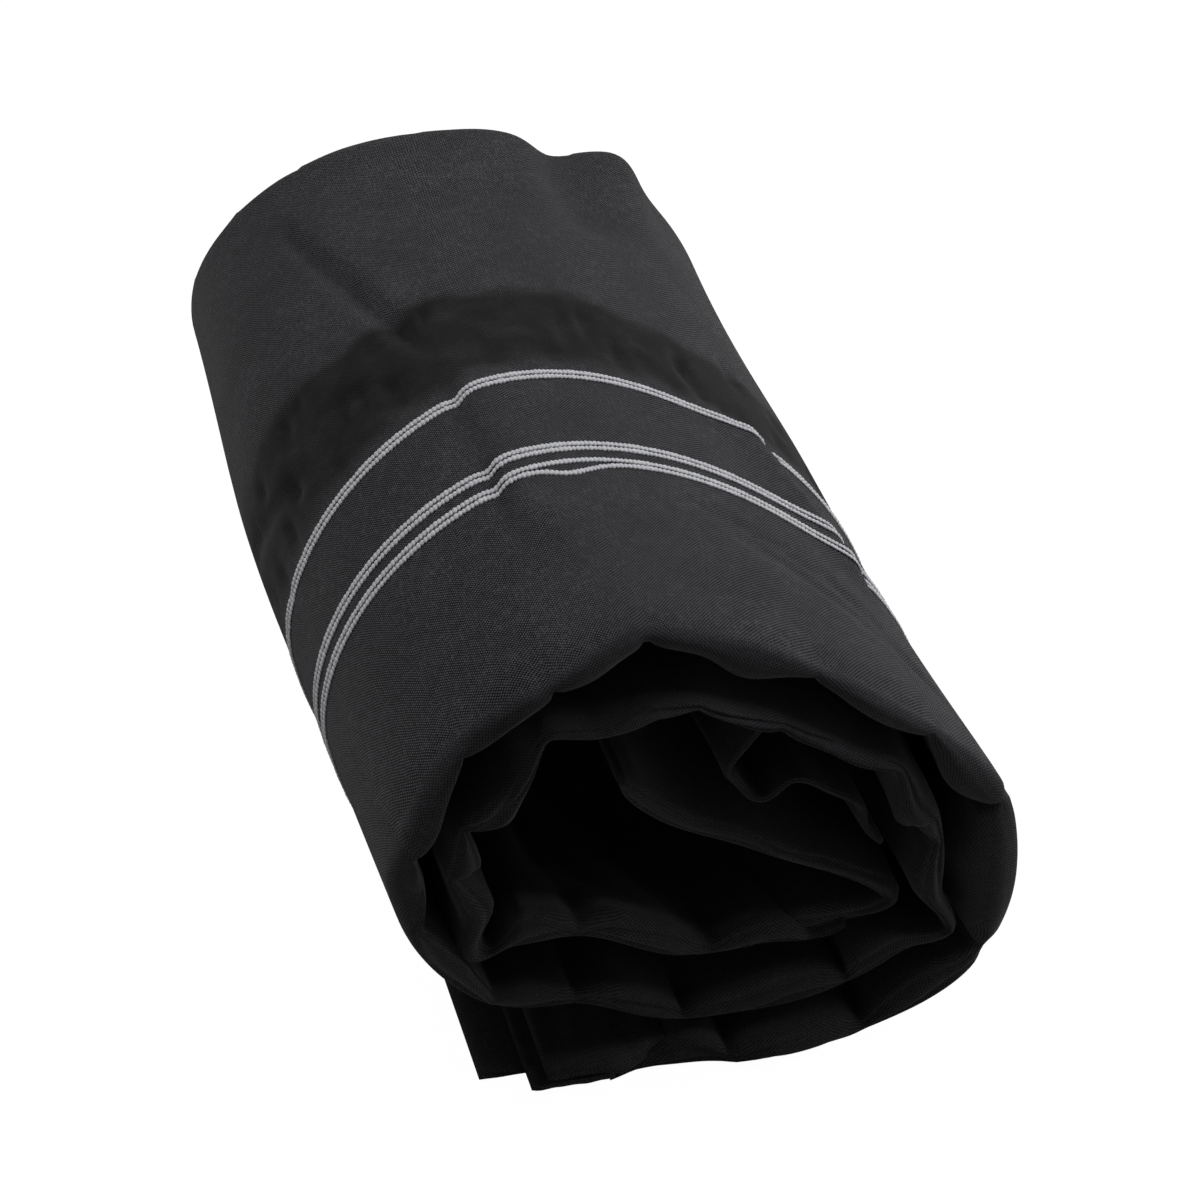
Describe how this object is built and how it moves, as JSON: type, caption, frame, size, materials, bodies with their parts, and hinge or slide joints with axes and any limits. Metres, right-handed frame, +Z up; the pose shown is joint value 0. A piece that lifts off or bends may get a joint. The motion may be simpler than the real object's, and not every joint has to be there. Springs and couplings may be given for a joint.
{
  "type": "rolled cloth wrap",
  "caption": "Folded strip of black cotton cloth rolled up for storage, with woven white stripes round it, a loose tail on the table and an inner end that turns back inside the hollow.",
  "frame": {"origin": "on the table, under the middle of the roll's bounding box", "axes": "+Y along the roll's axis to its far end, +Z up, +X to the right as seen from the near end"},
  "size_m": [0.0932, 0.157, 0.0721],
  "materials": {
    "black_cotton": "plain-woven black cotton, matt",
    "white_yarn": "white cotton yarn floats, matt"
  },
  "bodies": {
    "roll": {"wound_cloth": "black_cotton", "single_stripe": "white_yarn", "pair_stripe_far": "white_yarn", "pair_stripe_near": "white_yarn"},
    "tail": {"tail_top_ply": "black_cotton", "tail_middle_ply": "black_cotton", "tail_under_ply": "black_cotton"},
    "inner_end": {"inner_end_fold": "black_cotton"}
  },
  "joints": [
    {"name": "tail_lift", "type": "hinge", "parent": "roll", "child": "tail", "pos_m": [-0.01567, 0, 0.0022], "axis": [0, 1, 0], "range_deg": [0, 30]},
    {"name": "inner_end_swing", "type": "hinge", "parent": "roll", "child": "inner_end", "pos_m": [0.02223, 0, 0.02122], "axis": [0, 1, 0], "range_deg": [-25, 9], "stiffness_Nm_per_rad": 0.05}
  ]
}
